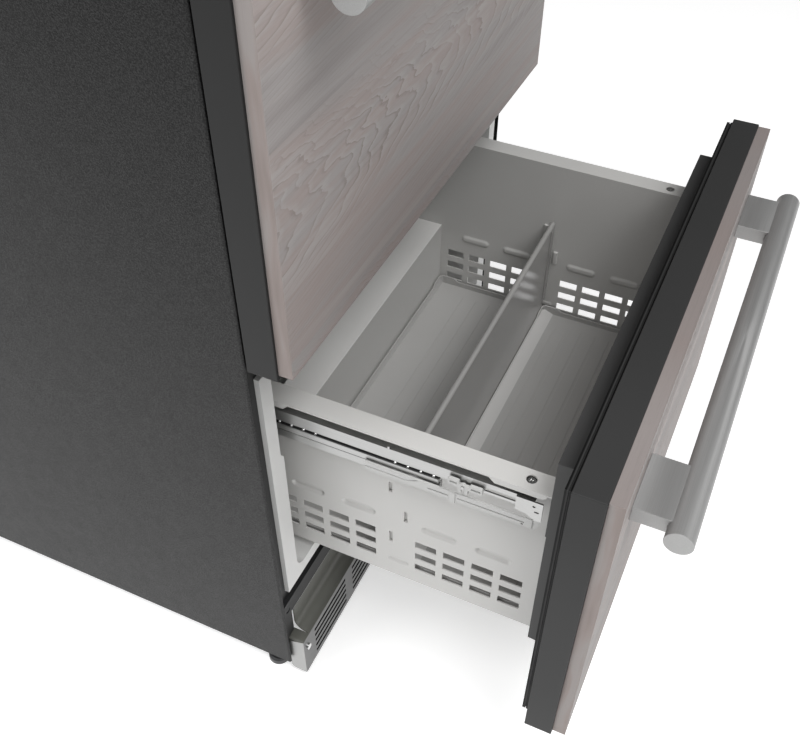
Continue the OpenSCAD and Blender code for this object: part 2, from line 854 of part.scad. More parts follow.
module control_panel() {
  z1 = top_z + tub_top;
  panel_w = 140;
  panel_front = plug_back + 10;
  panel_d = 38;
  panel_h = 9;
  pad_pitch = 24;
  pad_r = 6;
  pad_rise = 0.6;
  color([0.12, 0.12, 0.13]) {
    block(-panel_w / 2, panel_w / 2, panel_front, panel_front + panel_d, z1 - panel_h, z1);
    for (k = [-2 : 2]) translate([k * pad_pitch, panel_front + panel_d / 2, z1 - panel_h - pad_rise]) {
      cylinder(h = pad_rise + cut, r = pad_r);
    }
  }
}

// ---------------------------------------------------------------- door

module door_body() {
  color(door_grey) block(-half_w, half_w, body_front, body_back, -door_h, 0);
}

module door_liner() {
  bottom = -plug_bottom_drop;
  color(door_grey) along_x(-plug_w / 2, plug_w / 2) polygon([
    [body_back, -plug_top_inset],
    [plug_back, -plug_top_inset],
    [plug_back, plug_seam],
    [plug_back - plug_step, plug_seam],
    [plug_back - plug_step, bottom + 3.1],
    [body_back, bottom]]);
}

// a flat ring with the gasket's outline, taken in by inset on both edges
module gasket_ring(y0, y1, inset) {
  x = gasket_x - inset;
  top = gasket_top - inset;
  bottom = gasket_bottom + inset;
  w = gasket_w - 2 * inset;
  difference() {
    block(-x, x, y0, y1, bottom, top);
    block(w - x, x - w, y0 - cut, y1 + cut, bottom + w, top - w);
  }
}

module gasket() {
  base = body_back + gasket_t * 0.35;
  bulb = base + 0.8;
  color([0.07, 0.07, 0.07]) {
    gasket_ring(body_back, base, 0);
    gasket_ring(base, bulb, 1.2);
    gasket_ring(bulb, gasket_back, 0.2);
  }
}

module wood_panel() {
  x = half_w - wood_side_inset;
  color(ash_wood) block(-x, x, wood_front, body_front, wood_bottom_inset - door_h, -wood_top_inset);
}

module handle_bar() {
  color(satin_steel) rod_x(-bar_l / 2, bar_l / 2, wood_front - bar_reach, -bar_drop, bar_d / 2);
}

module handle_posts() {
  bar_y = wood_front - bar_reach;
  x0 = (post_spacing - post_w) / 2;
  color(satin_steel) both_sides() difference() {
    block(x0, x0 + post_w, bar_y, wood_front, -bar_drop - post_t / 2, post_t / 2 - bar_drop);
    rod_x(x0 - cut, x0 + post_w + cut, bar_y, -bar_drop, bar_d / 2);
  }
}

// ---------------------------------------------------------------- drawer box

// the left wall with its flange, slots, ovals and divider guides
module box_side() {
  inner = -wall_x;
  outer = -wall_x - box_sheet;
  difference() {
    union() {
      block(outer, inner, box_front, box_back, wall_bottom, flange_z);
      block(-flange_x, inner, box_front, box_back, flange_z - box_sheet, flange_z);
      // lip: whole at the rear and at the front, cut back over the slide
      along_x(-flange_x, -flange_x + box_sheet) {
        polygon([[rear_lip_y, flange_z], [box_back, flange_z], [box_back, lip_foot],
          [rear_lip_y + lip_slant, lip_foot], [rear_lip_y, lip_foot + lip_slant]]);
        polygon([[front_lip_y, flange_z], [front_lip_y, lip_foot + lip_slant],
          [front_lip_y - lip_slant, lip_foot], [box_front + lip_front_gap + lip_nose, lip_foot],
          [box_front + lip_front_gap, lip_foot + lip_nose], [box_front + lip_front_gap, flange_z]]);
      }
      // inward return under the floor
      block(inner, inner + return_w, box_front, rear_wall, floor_z - 2 * box_sheet, floor_z - box_sheet);
      // ovals, pressed inward
      for (c = oval_centres) translate([inner, box_front + c, oval_z]) {
        along_x(-bite, oval_rise) capsule(oval_l, oval_h);
      }
      translate([inner, div_y, low_oval_z]) {
        along_x(-bite, low_oval_rise) capsule(low_oval_l, low_oval_h);
      }
      // guides beside the divider
      for (g = lance_rows) {
        y = div_y + g[0] * (lance_gap + lance_w / 2);
        block(inner - bite, inner + lance_rise, y - lance_w / 2, y + lance_w / 2,
          g[1] - g[2] / 2, g[1] + g[2] / 2);
      }
    }
    for (start = slot_groups, column = [0 : slot_columns - 1], row = [0 : slot_rows - 1]) {
      z = slot_top_z - row * slot_row_pitch - slot_h / 2;
      translate([0, start + column * slot_pitch + slot_l / 2, z]) {
        along_x(outer - cut, inner + cut) round_rect(slot_l, slot_h, slot_r);
      }
    }
    // hollows behind the ovals and the guides
    for (c = oval_centres) translate([outer, box_front + c, oval_z]) {
      along_x(-cut, oval_rise) capsule(oval_l - 2 * emboss_wall, oval_h - 2 * emboss_wall);
    }
    translate([outer, div_y, low_oval_z]) along_x(-cut, low_oval_rise) {
      capsule(low_oval_l - 2 * emboss_wall, low_oval_h - 2 * emboss_wall);
    }
    for (g = lance_rows) {
      y = div_y + g[0] * (lance_gap + lance_w / 2);
      w = lance_w / 2 - lance_wall;
      h = g[2] / 2 - lance_wall;
      block(outer - cut, outer + lance_rise, y - w, y + w, g[1] - h, g[1] + h);
    }
    // screw hole
    translate([-screw_x, screw_y, flange_z - 5]) cylinder(h = 10, r = screw_hole_r);
  }
}

module box_pan() {
  x = wall_x;
  color(box_grey) {
    block(-x, x, box_front, rear_wall, floor_z - box_sheet, floor_z);
    block(-x, x, rear_wall, rear_wall + box_sheet, floor_z - box_sheet, shelf_z);
    block(-x, x, rear_wall, box_back, shelf_z - box_sheet, shelf_z);
    block(-x, x, box_back - box_sheet, box_back, shelf_z - shelf_skirt, shelf_z);
    block(-x, x, box_front, box_front + box_sheet, floor_z - box_sheet, flange_z - front_wall_drop);
  }
}

module flange_screws() {
  color([0.75, 0.75, 0.74]) both_sides() translate([-screw_x, screw_y, 0]) {
    difference() {
      translate([0, 0, screw_seat]) cylinder(h = screw_head_h, r = screw_head_r);
      // cross recess
      for (a = [30, 120]) rotate([0, 0, a]) {
        block(-2, 2, -0.5, 0.5, screw_seat + screw_head_h - 1, flange_z);
      }
    }
    translate([0, 0, screw_seat - 5.4]) cylinder(h = 6, r = screw_shank_r);
  }
}

module divider() {
  x = wall_x - lance_rise - 1;
  end_x = x + 3;
  rail_z = divider_top - rail_r;
  bottom = floor_z + 0.3;
  color([0.45, 0.45, 0.44]) {
    block(-x, x, div_y - div_sheet / 2, div_y + div_sheet / 2, bottom, rail_z);
    rod_x(rail_r - end_x, end_x - rail_r, div_y, rail_z, rail_r);
    for (s = [-1, 1]) translate([s * (end_x - rail_r), div_y, rail_z]) sphere(r = rail_r);
    // end clips that ride between the guides, with a groove down each face
    both_sides() difference() {
      block(-end_x, clip_w - end_x, div_y - clip_t / 2, div_y + clip_t / 2, bottom + clip_lift, rail_z);
      for (s = [-1, 1]) translate([clip_w - end_x - 2.2 * clip_groove, div_y + s * clip_t / 2, 0]) {
        block(-clip_groove / 2, clip_groove / 2, -clip_groove / 2, clip_groove / 2,
          bottom + clip_lift + 6, rail_z - 12);
      }
    }
  }
}

// a tray outline with its corners cut at 45 degrees
module mat_outline(y0, y1, g) {
  x = wall_x - mat_side_gap - g;
  a = y0 + g;
  b = y1 - g;
  c = mat_corner - g * 0.6;
  polygon([[c - x, a], [x - c, a], [x, a + c], [x, b - c],
    [x - c, b], [c - x, b], [-x, b - c], [-x, a + c]]);
}

// a tray with raised corners; ramp is how far its rear rim slopes in to its floor
module mat(y0, y1, ramp) {
  x = wall_x - mat_side_gap;
  floor_top = floor_z + mat_floor;
  rim_z = floor_z + mat_rim;
  corner_z = rim_z + mat_rise;
  flat = mat_rise_l;
  slant = mat_rise_l + mat_rise_slant;
  inner_l = y1 - y0 - 2 * mat_band_end;
  bands = floor((inner_l - mat_band_w) / mat_band_pitch);
  color([0.48, 0.48, 0.47]) {
    difference() {
      translate([0, 0, floor_z]) linear_extrude(mat_rim + mat_rise) mat_outline(y0, y1, 0);
      translate([0, 0, floor_top]) linear_extrude(mat_rim + mat_rise) mat_outline(y0, y1, mat_t);
      translate([0, 0, floor_z - cut]) {
        linear_extrude(mat_floor - mat_t + cut) mat_outline(y0, y1, mat_t);
      }
      // the rim is lower between its corners
      along_x(-x - cut, x + cut) polygon([[y0 + flat, corner_z + cut], [y0 + flat, corner_z],
        [y0 + slant, rim_z], [y1 - slant, rim_z], [y1 - flat, corner_z], [y1 - flat, corner_z + cut]]);
      along_y(y0 - cut, y1 + cut) polygon([[flat - x, corner_z + cut], [flat - x, corner_z],
        [slant - x, rim_z], [x - slant, rim_z], [x - flat, corner_z], [x - flat, corner_z + cut]]);
    }
    intersection() {
      along_x(-x, x) polygon([[y1, floor_top - bite], [y1, rim_z - 1], [y1 - mat_t, rim_z - 1],
        [y1 - mat_t - ramp, floor_top], [y1 - mat_t - ramp, floor_top - bite]]);
      translate([0, 0, floor_z]) linear_extrude(mat_rim) mat_outline(y0, y1, mat_t - bite);
    }
    for (k = [0 : bands]) {
      y = (y0 + y1) / 2 + (k - bands / 2) * mat_band_pitch;
      block(mat_band_end - x, x - mat_band_end, y - mat_band_w / 2, y + mat_band_w / 2,
        floor_top - bite, floor_top + mat_band_rise);
    }
  }
}

module front_mat() mat(box_front + box_sheet + mat_end_gap, div_y - mat_to_divider, 15);
module rear_mat() mat(div_y + mat_to_divider, rear_wall - mat_end_gap, 3);

// ---------------------------------------------------------------- slides

// an upright U channel, its lips at lip_z and its closed side away from slide_z
module channel_section() {
  difference() {
    translate([-channel_r, lip_z]) square([2 * channel_r, channel_h]);
    translate([rail_t - channel_r, lip_z - cut]) {
      square([2 * (channel_r - rail_t), channel_h - rail_t + cut]);
    }
  }
}

// the middle rail's head and half of its band
module head_section() {
  translate([-head_r, head_bottom]) square([2 * head_r, head_top - head_bottom]);
  translate([-neck_r, 0]) square([2 * neck_r, head_bottom + cut]);
  translate([-band_x, 0]) square([2 * band_x, band_h / 2]);
}

// the ball cage's hat section: a bridge over the head, two legs and two wings
module cage_section() {
  top = head_top + 1.4;
  wing_z = band_h / 2 + ball_gap;
  for (s = [-1, 1]) {
    translate([s * (cage_leg - cage_t / 2) - cage_t / 2, wing_z - cage_t / 2]) {
      square([cage_t, top - wing_z + cage_t / 2]);
    }
    translate([s > 0 ? cage_leg - cage_t : -cage_wing, wing_z - cage_t / 2]) {
      square([cage_wing - cage_leg + cage_t, cage_t]);
    }
  }
  translate([-cage_leg, top - cage_t]) square([2 * cage_leg, cage_t]);
}

// up = 1 puts a slide section above the mid-height, up = -1 below it
module slide_place(up) {
  translate([-slide_x, 0, slide_z]) scale_z(up) children();
}

module scale_z(up) {
  if (up > 0) children();
  if (up < 0) mirror([0, 0, 1]) children();
}

module cage(front, up, group_pitch) {
  back = front + group_pitch + (balls_in_group - 1) * ball_pitch;
  wing_z = band_h / 2 + ball_gap;
  slide_place(up) {
    along_y(front - 6, back + 6) cage_section();
    for (group = [0, 1], ball = [0 : balls_in_group - 1], s = [-1, 1]) {
      translate([s * ball_x, front + group * group_pitch + ball * ball_pitch, wing_z]) {
        sphere(d = ball_d);
      }
    }
  }
}

module drawer_rails() {
  plate_z = slide_z + lip_z + channel_h;
  color(satin_steel) both_sides() difference() {
    union() {
      slide_place(1) along_y(drawer_rail_front, drawer_rail_back) channel_section();
      // tabs to the drawer's wall
      for (y = box_tabs) {
        block(channel_r - slide_x - bite, -wall_x - box_sheet, y, y + tab_l,
          plate_z - 2 - tab_h, plate_z - 2);
      }
      // seat under the flange's screw, and its foot on the rail
      translate([-screw_x, screw_y, 0]) {
        block(-seat_w / 2, seat_w / 2, -seat_l / 2, seat_l / 2, screw_seat - rail_t, screw_seat);
        block(-seat_w / 2, 3 - seat_w / 2, -seat_l / 2, seat_l / 2, plate_z - 1, screw_seat);
      }
      translate([rail_pin_r - slide_x - channel_r, rail_pin_y, plate_z - bite]) {
        cylinder(h = rail_pin_h + bite, r = rail_pin_r);
      }
      // front bracket with a hook at its foot, and the thin strip behind it
      front_bracket();
      slide_strip();
      // pin of the release lever
      rod_x(-lever_x - lever_t - 0.8, 0.5 - channel_r - slide_x, lever_pin_y, lever_pin_z, lever_pin_r);
    }
    translate([-screw_x, screw_y, screw_seat - 4]) cylinder(h = 6, r = screw_shank_r + screw_play);
    // window in the rail's outer wall, ahead of the levers
    translate([-slide_x - channel_r, 0, 0]) {
      block(-play / 2, rail_t + play / 2, window_front, lever_front - 0.5, window_z[0], window_z[1]);
    }
  }
}

// the plate at the rail's front end, with a hook that holds the strip
module front_bracket() {
  y0 = box_front + 5.7;
  y1 = drawer_rail_front;
  plate_z = slide_z + lip_z + channel_h;
  lip_bottom = slide_z + lip_z;
  difference() {
    translate([-bracket_x - rail_t, 0, 0]) along_x(0, rail_t) polygon([
      [y0, plate_z], [y1 + 4, plate_z], [y1 + 4, lip_bottom - 3], [y0 + 13.5, lip_bottom - 5],
      [y0 + 13.5, strip_bottom + 4], [y0 + 7, strip_bottom - 2], [y0 + 4, strip_bottom - 2],
      [y0, lip_bottom - 10]]);
    rod_x(-bracket_x - 5, -bracket_x + 5, y0 + 8, slide_z + 15.5, 1.4);
    translate([0, y0 + 5, slide_z + 8.8]) along_x(-bracket_x - 5, -bracket_x + 5) capsule(4.6, 2);
  }
  // spacer between the plate and the rail, and the top of the rail's front end
  block(-bracket_x, -slide_x - channel_r + 0.1, y1, y1 + 4, lip_bottom + 0.5, plate_z);
  block(-bracket_x - rail_t, channel_r - slide_x, y0 + 8, y1 + 1, plate_z - rail_t, plate_z);
}

// a plastic strip with a ramped groove, two slots and a stop
module slide_strip() {
  mid = slide_z - 8.5;
  difference() {
    block(-strip_x - strip_t, -strip_x, strip_front - 6, strip_back, strip_bottom, strip_top);
    along_x(-strip_x - strip_t - cut, -strip_x + cut) {
      // groove, open at the back, ramped up at its front end
      polygon([[strip_back + 1, mid + 2.9], [strip_back - 42, mid + 2.9], [strip_back - 54, mid + 4.6],
        [strip_back - 54, mid + 3.4], [strip_back - 43, mid - 1.4], [strip_back + 1, mid - 1.4]]);
      translate([strip_back - 74, mid - 0.8]) capsule(20.4, 2);
      translate([(strip_front + strip_back - 92) / 2, mid - 0.6]) {
        capsule(strip_back - strip_front - 94, 1.8);
      }
    }
    rod_x(-strip_x - strip_t - cut, -strip_x + cut, strip_front + 3, strip_bottom + 2.2, 1.2);
  }
  block(-strip_x - strip_t - 1, -strip_x, strip_back - 91, strip_back - 86, strip_bottom - 3, strip_top);
}

module middle_rails() {
  color([0.70, 0.70, 0.69]) both_sides() {
    slide_place(1) along_y(middle_front, middle_back) head_section();
    slide_place(-1) along_y(middle_front, middle_back) head_section();
  }
}

module inner_cages() {
  color([0.15, 0.15, 0.15]) both_sides() cage(inner_cage_front, 1, ball_group_pitch);
}

module outer_cages() {
  color([0.15, 0.15, 0.15]) both_sides() cage(outer_cage_front, -1, outer_group_pitch);
}

module cabinet_rails() {
  color(satin_steel) both_sides() {
    slide_place(-1) along_y(cabinet_rail_front, cabinet_rail_back) channel_section();
    for (y = cabinet_tabs) {
      block(-tub_x_top, -slide_x - channel_r + bite, y, y + tab_l,
        slide_z - lip_z - channel_h + 1, strip_bottom - 1);
    }
  }
}

// one lever: two slotted lobes on an arm that turns on the rail's pin
module release_lever() {
  lobe_l = [12.8, 11];
  lobe_h = 7.8;
  lobe_y = [lever_front + lobe_l[0] / 2, lever_back - lobe_l[1] / 2];
  lobe_z = [lever_pin_z + 1.2, lever_pin_z + 3];
  difference() {
    along_x(-lever_x - lever_t, -lever_x) {
      for (k = [0, 1]) translate([lobe_y[k], lobe_z[k]]) round_rect(lobe_l[k], lobe_h, 2);
      translate([lever_pin_y, lever_pin_z]) circle(r = 3.6);
      translate([lobe_y[0], lever_pin_z - 1.8]) square([lobe_y[1] - lobe_y[0], 4.4]);
      for (y = [lever_pin_y - 5, lever_pin_y + 1.4]) translate([y, lever_pin_z - 8.4]) square([3, 8]);
    }
    for (k = [0, 1]) translate([0, lobe_y[k], lobe_z[k] - 0.4]) {
      along_x(-lever_x - lever_t - cut, -lever_x - 0.8) capsule(lobe_l[k] - 3.4, 2.6);
    }
    rod_x(-lever_x - lever_t - cut, cut - lever_x, lever_pin_y, lever_pin_z, lever_pin_r + screw_play);
  }
}

module release_levers() {
  color([0.93, 0.93, 0.92]) both_sides() release_lever();
}

// ---------------------------------------------------------------- the two drawers

module lower_door_body() at_drawer(lower) door_body();
module lower_door_liner() at_drawer(lower) door_liner();
module lower_gasket() at_drawer(lower) gasket();
module lower_wood_panel() at_drawer(lower) wood_panel();
module lower_handle_bar() at_drawer(lower) handle_bar();
module lower_handle_posts() at_drawer(lower) handle_posts();
module lower_box_left_side() at_drawer(lower) color(box_grey) box_side();
module lower_box_right_side() at_drawer(lower) color(box_grey) mirror([1, 0, 0]) box_side();
module lower_box_pan() at_drawer(lower) box_pan();
module lower_divider() at_drawer(lower) divider();
module lower_front_mat() at_drawer(lower) front_mat();
module lower_rear_mat() at_drawer(lower) rear_mat();
module lower_flange_screws() at_drawer(lower) flange_screws();
module lower_drawer_rails() at_drawer(lower) drawer_rails();
module lower_middle_rails() at_drawer(lower, middle_share) middle_rails();
module lower_inner_cages() at_drawer(lower, inner_share) inner_cages();
module lower_outer_cages() at_drawer(lower, outer_share) outer_cages();
module lower_cabinet_rails() at_compartment(lower) cabinet_rails();
module lower_release_levers() at_drawer(lower) release_levers();

module upper_door_body() at_drawer(upper) door_body();
module upper_door_liner() at_drawer(upper) door_liner();
module upper_gasket() at_drawer(upper) gasket();
module upper_wood_panel() at_drawer(upper) wood_panel();
module upper_handle_bar() at_drawer(upper) handle_bar();
module upper_handle_posts() at_drawer(upper) handle_posts();
module upper_box_left_side() at_drawer(upper) color(box_grey) box_side();
module upper_box_right_side() at_drawer(upper) color(box_grey) mirror([1, 0, 0]) box_side();
module upper_box_pan() at_drawer(upper) box_pan();
module upper_divider() at_drawer(upper) divider();
module upper_front_mat() at_drawer(upper) front_mat();
module upper_rear_mat() at_drawer(upper) rear_mat();
module upper_flange_screws() at_drawer(upper) flange_screws();
module upper_drawer_rails() at_drawer(upper) drawer_rails();
module upper_middle_rails() at_drawer(upper, middle_share) middle_rails();
module upper_inner_cages() at_drawer(upper, inner_share) inner_cages();
module upper_outer_cages() at_drawer(upper, outer_share) outer_cages();
module upper_cabinet_rails() at_compartment(upper) cabinet_rails();
module upper_release_levers() at_drawer(upper) release_levers();

cabinet_wrapper();
face_frame();
lower_liner();
upper_liner();
insulation();
rear_cover();
base_pan();
toe_grille();
toe_plate();
toe_screws();
front_left_leg();
front_right_leg();
rear_left_leg();
rear_right_leg();
compressor();
condenser();
condenser_fan();
condenser_fan_motor();
evaporator();
evaporator_fan();
evaporator_cover();
control_panel();
lower_door_body();
lower_door_liner();
lower_gasket();
lower_wood_panel();
lower_handle_bar();
lower_handle_posts();
lower_box_left_side();
lower_box_right_side();
lower_box_pan();
lower_divider();
lower_front_mat();
lower_rear_mat();
lower_flange_screws();
lower_cabinet_rails();
lower_middle_rails();
lower_drawer_rails();
lower_outer_cages();
lower_inner_cages();
lower_release_levers();
upper_door_body();
upper_door_liner();
upper_gasket();
upper_wood_panel();
upper_handle_bar();
upper_handle_posts();
upper_box_left_side();
upper_box_right_side();
upper_box_pan();
upper_divider();
upper_front_mat();
upper_rear_mat();
upper_flange_screws();
upper_cabinet_rails();
upper_middle_rails();
upper_drawer_rails();
upper_outer_cages();
upper_inner_cages();
upper_release_levers();
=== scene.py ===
"""Undercounter drawer refrigerator, lower drawer open, seen from above and from the left."""
import json
import math

import bmesh
import bpy
from mathutils import Matrix, Vector

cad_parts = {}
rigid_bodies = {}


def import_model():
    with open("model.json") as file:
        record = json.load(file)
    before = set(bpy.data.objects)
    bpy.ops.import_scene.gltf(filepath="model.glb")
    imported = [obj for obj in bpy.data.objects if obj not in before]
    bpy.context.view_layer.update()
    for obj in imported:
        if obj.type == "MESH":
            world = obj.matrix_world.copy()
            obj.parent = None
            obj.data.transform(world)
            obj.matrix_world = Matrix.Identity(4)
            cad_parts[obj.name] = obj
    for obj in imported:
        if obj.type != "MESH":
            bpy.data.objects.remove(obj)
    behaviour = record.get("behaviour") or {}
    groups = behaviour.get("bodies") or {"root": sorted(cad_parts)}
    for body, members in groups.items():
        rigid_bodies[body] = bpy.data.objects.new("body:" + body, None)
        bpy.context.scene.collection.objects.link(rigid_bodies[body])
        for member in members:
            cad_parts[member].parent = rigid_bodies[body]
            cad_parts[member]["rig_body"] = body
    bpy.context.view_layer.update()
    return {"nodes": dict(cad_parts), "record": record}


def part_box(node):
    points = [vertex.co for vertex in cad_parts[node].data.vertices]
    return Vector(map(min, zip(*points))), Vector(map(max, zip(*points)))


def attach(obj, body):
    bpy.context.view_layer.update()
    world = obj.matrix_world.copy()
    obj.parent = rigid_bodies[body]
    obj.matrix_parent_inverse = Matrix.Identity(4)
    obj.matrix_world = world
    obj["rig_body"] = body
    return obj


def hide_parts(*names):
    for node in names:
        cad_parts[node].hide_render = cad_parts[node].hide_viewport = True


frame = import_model()
nodes = frame["nodes"]
scene = bpy.context.scene
MM = 0.001
DRAWERS = ("lower", "upper")
SIDES = ("left", "right")

# Where each drawer is at rest, in metres: its door's top edge, and its way out along Y.
DOOR_TOP = {"lower": 0.498, "upper": 0.889}
TRAVEL = {"lower": -0.2823, "upper": 0.0}

# Soft lights round the cabinet: name, bearing from the front to the left and height in degrees, and watts.
LIGHTS = (
    ("key", 30, 60, 48.0),
    ("front_high", 0, 70, 28.0),
    ("front_left", 45, 40, 24.0),
    ("front_right", -45, 35, 10.0),
    ("left_high", 90, 60, 13.0),
    ("back_left", 135, 50, 55.0),
)
LIGHT_AIM = (0.0, -0.1, 0.4)
LIGHT_DISTANCE = 3.6
LIGHT_WIDTH = 1.8
WORLD_STRENGTH = 0.08
FLOOR_GLOW = 0.46

# The drawer box, in millimetres: |x| of a side wall's faces and of its divider guides, heights from the
# door's top edge, and distances behind the closed cabinet's front. A hollow behind an oval is smaller than it.
WALL_INNER = 233.0
WALL_OUTER = 234.5
GUIDE_INNER = 230.0
GUIDE_HEIGHTS = (-260, -155)
SHELF_TOP = -203
BOX_FRONT = 20.8
DIVIDER_Y = 174.3
HOLLOW_SMALLER = 3.0

# Pressed ovals: distance behind the box's front, height from the door's top, length, height, depth.
OVALS = [(y, -216.0, 37.0, 9.0, 2.0) for y in (50.8, 109.0, 198.2, 257.0)]
OVALS.append((DIVIDER_Y - BOX_FRONT, -285.0, 23.0, 6.5, 1.2))
INNER_GROWTH = 1.8
OUTER_GROWTH = 2.8
OUTER_DEEPER = 1.35

# The slides, in millimetres: |x| of their middle, of the ball rows beside it, and of the white strip.
SLIDE_X = 248.0
BALL_ROW = 6.4
BALL_REACH = 1.8
STRIP_X = 256.55
STRIP_TOP = -105.5

# Width of the rounded edges of each finished piece, in millimetres.
ROUNDED = {"door_body": 0.8, "door_liner": 0.8, "wood_panel": 0.3, "handle_posts": 0.5, "handle_bar": 0.4,
           "box_pan": 0.6, "divider": 0.5, "front_mat": 0.5, "rear_mat": 0.5}

# The veneer, in metres: planks this tall from this height up, and each plank's axis of arches.
PLANK = 0.19
PLANK_START = 0.152
ARCH_AXIS = 0.123


# ---------------------------------------------------------------- camera, light, floor

def make_camera():
    """The photograph's camera, worked out from the cabinet's straight edges."""
    eye = (-0.773787, -0.359439, 1.070683)
    right = Vector((0.41284, -0.91072, 0.01209))
    up = Vector((0.65024, 0.30400, 0.69626))
    back = Vector((-0.63778, -0.27958, 0.71769))
    data = bpy.data.cameras.new("photo_camera")
    data.sensor_width = 36.0
    data.lens = 43.680
    data.shift_x = -0.0174
    data.shift_y = 0.0389
    data.clip_start = 0.01
    data.clip_end = 50.0
    camera = bpy.data.objects.new("photo_camera", data)
    scene.collection.objects.link(camera)
    turn = Matrix((right, up, back)).transposed()
    camera.matrix_world = Matrix.Translation(eye) @ turn.to_4x4()
    scene.camera = camera


def area_light(name, place, target, size, power):
    """A round soft light at place that shines on target."""
    data = bpy.data.lights.new(name, "AREA")
    data.shape = "DISK"
    data.size = size
    data.energy = power
    light = bpy.data.objects.new(name, data)
    scene.collection.objects.link(light)
    light.location = place
    aim = Vector(target) - Vector(place)
    light.rotation_mode = "QUATERNION"
    light.rotation_quaternion = aim.to_track_quat("-Z", "Y")


def make_studio():
    """A dim world and the soft lights, all aimed at the same place."""
    world = bpy.data.worlds.new("studio")
    scene.world = world
    world.use_nodes = True
    background = world.node_tree.nodes["Background"]
    background.inputs["Color"].default_value = (1.0, 1.0, 1.0, 1.0)
    background.inputs["Strength"].default_value = WORLD_STRENGTH
    aim = Vector(LIGHT_AIM)
    for name, bearing, height, power in LIGHTS:
        turn = math.radians(bearing)
        rise = math.radians(height)
        way = Vector((-math.sin(turn) * math.cos(rise), -math.cos(turn) * math.cos(rise), math.sin(rise)))
        area_light(name, aim + way * LIGHT_DISTANCE, aim, LIGHT_WIDTH, power)
    scene.view_settings.view_transform = "Standard"


def make_floor():
    """A pale floor that glows a little, so that it stays white like the photograph's."""
    half = 7.0
    mesh = bpy.data.meshes.new("floor")
    corners = [(-half, -half, 0), (half, -half, 0), (half, half, 0), (-half, half, 0)]
    mesh.from_pydata(corners, [], [(0, 1, 2, 3)])
    floor = bpy.data.objects.new("floor", mesh)
    scene.collection.objects.link(floor)
    paint = Paint("floor_paint", (0.85, 0.85, 0.85), 0.95, 0.0, 0.0)
    paint.set("Emission Color", (1.0, 1.0, 1.0, 1.0))
    paint.set("Emission Strength", FLOOR_GLOW)
    floor.data.materials.append(paint.material)


# ---------------------------------------------------------------- shader helpers

class Field:
    """A value or vector in a shader tree that takes + - * / and a few functions."""

    def __init__(self, tree, socket):
        self.tree = tree
        self.socket = socket

    def _math(self, kind, other=None):
        n = self.tree.nodes.new("ShaderNodeMath")
        n.operation = kind
        self.tree.links.new(self.socket, n.inputs[0])
        if isinstance(other, Field):
            self.tree.links.new(other.socket, n.inputs[1])
        elif other is not None:
            n.inputs[1].default_value = other
        return Field(self.tree, n.outputs[0])

    def __add__(self, other):
        return self._math("ADD", other)

    def __sub__(self, other):
        return self._math("SUBTRACT", other)

    def __mul__(self, other):
        return self._math("MULTIPLY", other)

    def __truediv__(self, other):
        return self._math("DIVIDE", other)

    def power(self, other):
        return self._math("POWER", other)

    def fract(self):
        return self._math("FRACT")

    def floor(self):
        return self._math("FLOOR")

    def root(self):
        return self._math("SQRT")

    def span(self, low, high, to_low=0.0, to_high=1.0):
        """Maps low..high to to_low..to_high, clamped, with soft ends."""
        n = self.tree.nodes.new("ShaderNodeMapRange")
        n.interpolation_type = "SMOOTHSTEP"
        self.tree.links.new(self.socket, n.inputs["Value"])
        n.inputs["From Min"].default_value = low
        n.inputs["From Max"].default_value = high
        n.inputs["To Min"].default_value = to_low
        n.inputs["To Max"].default_value = to_high
        return Field(self.tree, n.outputs["Result"])


